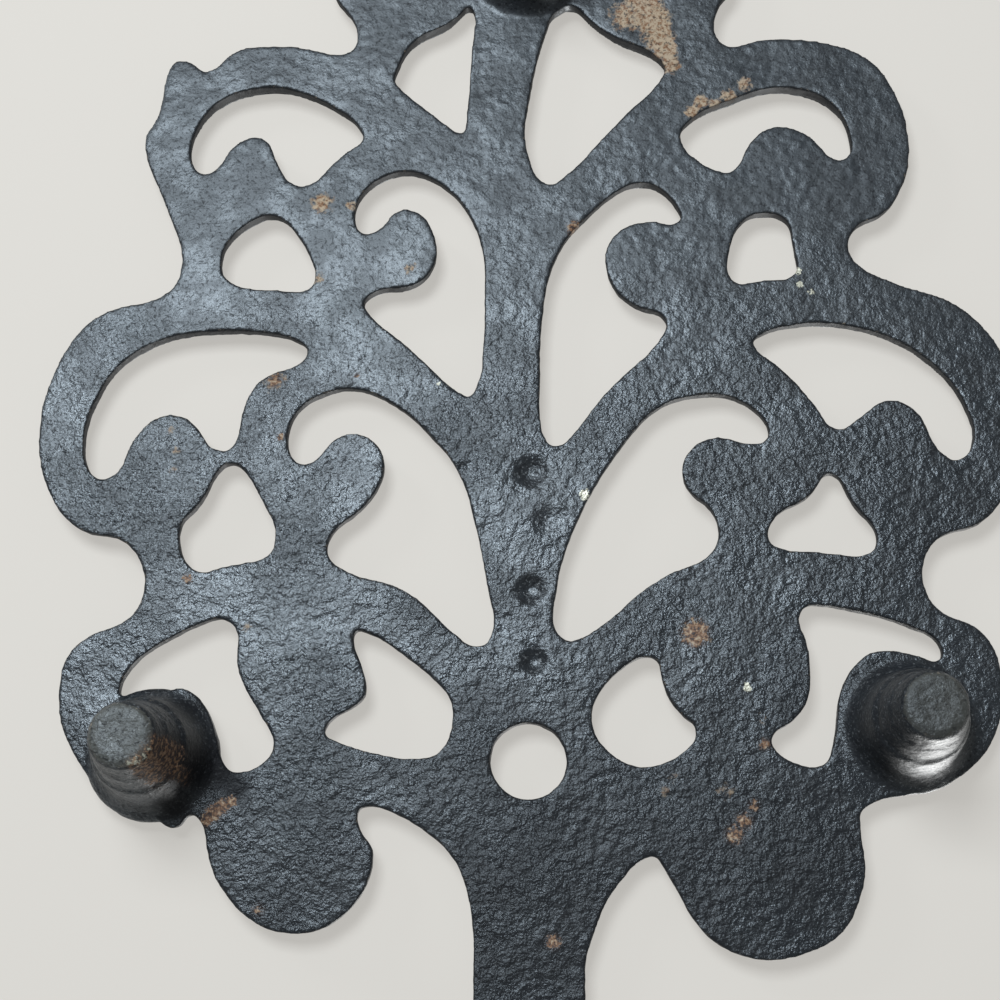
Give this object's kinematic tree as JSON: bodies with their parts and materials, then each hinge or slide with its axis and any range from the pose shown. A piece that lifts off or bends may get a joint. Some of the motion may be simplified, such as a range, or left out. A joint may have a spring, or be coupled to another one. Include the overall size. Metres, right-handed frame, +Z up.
{
  "type": "trivet",
  "caption": "Cast-iron trivet with a tree of curling boughs in openwork, a flat handle with a hanging hole, and tapered cast feet.",
  "frame": {"origin": "on the floor plane that the feet stand on, under the middle of the trivet's length and width", "axes": "+Z up through the plate, +Y along the trunk from the handle to the top of the crown, +X to the right when seen from above with the handle towards the viewer"},
  "size_m": [0.142, 0.2186, 0.024],
  "materials": {
    "iron": "sand-cast, old black paint with a satin sheen, rusted and chipped in places"
  },
  "bodies": {
    "root": {"trunk": "iron", "lower_bough_right": "iron", "lower_bough_left": "iron", "upper_bough_right": "iron", "upper_bough_left": "iron", "handle": "iron", "foot_right": "iron", "foot_left": "iron", "foot_top": "iron"}
  },
  "joints": []
}
